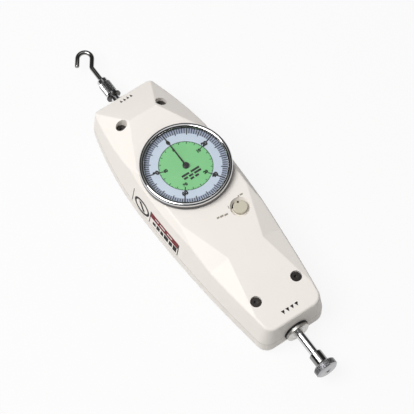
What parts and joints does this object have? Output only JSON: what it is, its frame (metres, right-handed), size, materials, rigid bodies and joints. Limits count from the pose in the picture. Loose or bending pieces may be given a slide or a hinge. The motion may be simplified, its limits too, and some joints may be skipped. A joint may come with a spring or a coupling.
{
  "type": "dial force gauge",
  "caption": "Hand-held push-pull force gauge: faceted case, dial with rotating bezel, spring-centred rod with pull hook and push disc, selector knob.",
  "frame": {"origin": "on the flat back face, straight below the pointer's axis", "axes": "+Z out of the dial, +Y along the rod towards the hook, +X to the right seen from the dial's side"},
  "size_m": [0.069, 0.2886, 0.05],
  "materials": {
    "ivory_paint": "satin",
    "black_steel": "satin",
    "bright_chrome": "polished",
    "dark_chrome": "polished",
    "steel": "turned",
    "spring_steel": "drawn",
    "brass": "machined",
    "alloy": "turned",
    "clear_lens": "clear",
    "dial_print": "printed",
    "black_plastic": "moulded",
    "black_rubber": "moulded",
    "felt": "pressed felt"
  },
  "bodies": {
    "housing": {"front_case": "ivory_paint", "rear_case": "ivory_paint", "case_screws": "black_steel", "dial_cup": "alloy", "friction_ring": "felt", "spring_stops": "alloy", "pull_bush": "alloy", "push_bush": "alloy", "bush_seals": "black_rubber", "movement_back_plate": "brass", "movement_front_plate": "brass", "plate_pillars": "brass", "movement_spacers": "brass", "movement_screws": "steel", "hairspring": "spring_steel", "hairspring_stud": "brass", "lever_pivot": "steel", "pull_spring": "spring_steel", "push_spring": "spring_steel"},
    "rod": {"measuring_rod": "steel", "rod_collars": "steel", "rack_carrier": "alloy", "rack": "brass", "rack_screws": "steel", "push_sleeve": "dark_chrome", "push_disc": "dark_chrome", "coupling_nut": "black_steel", "hook_coupling": "bright_chrome", "hook": "dark_chrome"},
    "gear": {"gear_arbor": "steel", "rack_pinion": "brass", "gear_wheel": "brass"},
    "pointer": {"pointer_arbor": "steel", "pointer": "black_steel", "pointer_pinion": "brass", "brake_drum": "brass", "hairspring_collet": "brass"},
    "bezel": {"bezel_ring": "bright_chrome", "crystal": "clear_lens", "spacer_ring": "black_plastic", "dial_plate": "dial_print"},
    "knob": {"selector_knob": "ivory_paint", "knob_shaft": "steel", "knob_clip": "spring_steel"},
    "lever": {"brake_lever": "steel", "brake_pad": "felt"}
  },
  "joints": [
    {"name": "rod_slide", "type": "slide", "parent": "housing", "child": "rod", "axis": [0, 1, 0], "range_m": [0, 0.01], "stiffness_N_per_m": 5000, "deforming": ["pull_spring", "push_spring"]},
    {"name": "gear_turn", "type": "hinge", "parent": "housing", "child": "gear", "pos_m": [-0.0145, 0, 0.0135], "axis": [0, 0, 1], "range_deg": [0, 115]},
    {"name": "pointer_turn", "type": "hinge", "parent": "housing", "child": "pointer", "pos_m": [0, 0, 0.0467], "axis": [0, 0, 1], "range_deg": [-361, 0], "deforming": ["hairspring"]},
    {"name": "bezel_turn", "type": "hinge", "parent": "housing", "child": "bezel", "pos_m": [0, 0, 0.0444], "axis": [0, 0, 1], "continuous": true},
    {"name": "knob_turn", "type": "hinge", "parent": "housing", "child": "knob", "pos_m": [0.0133, -0.0433, 0.0399], "axis": [0, 0, 1], "range_deg": [0, 60]},
    {"name": "brake_lever_turn", "type": "hinge", "parent": "housing", "child": "lever", "pos_m": [0.0075, -0.0145, 0.0256], "axis": [0, 0, 1], "range_deg": [-5.4, 0]}
  ],
  "couplings": [
    {"joint": "gear_turn", "follows": "rod_slide", "rad_per_m": 200},
    {"joint": "pointer_turn", "follows": "rod_slide", "rad_per_m": -628.57},
    {"joint": "brake_lever_turn", "follows": "knob_turn", "ratio": -0.08875}
  ]
}
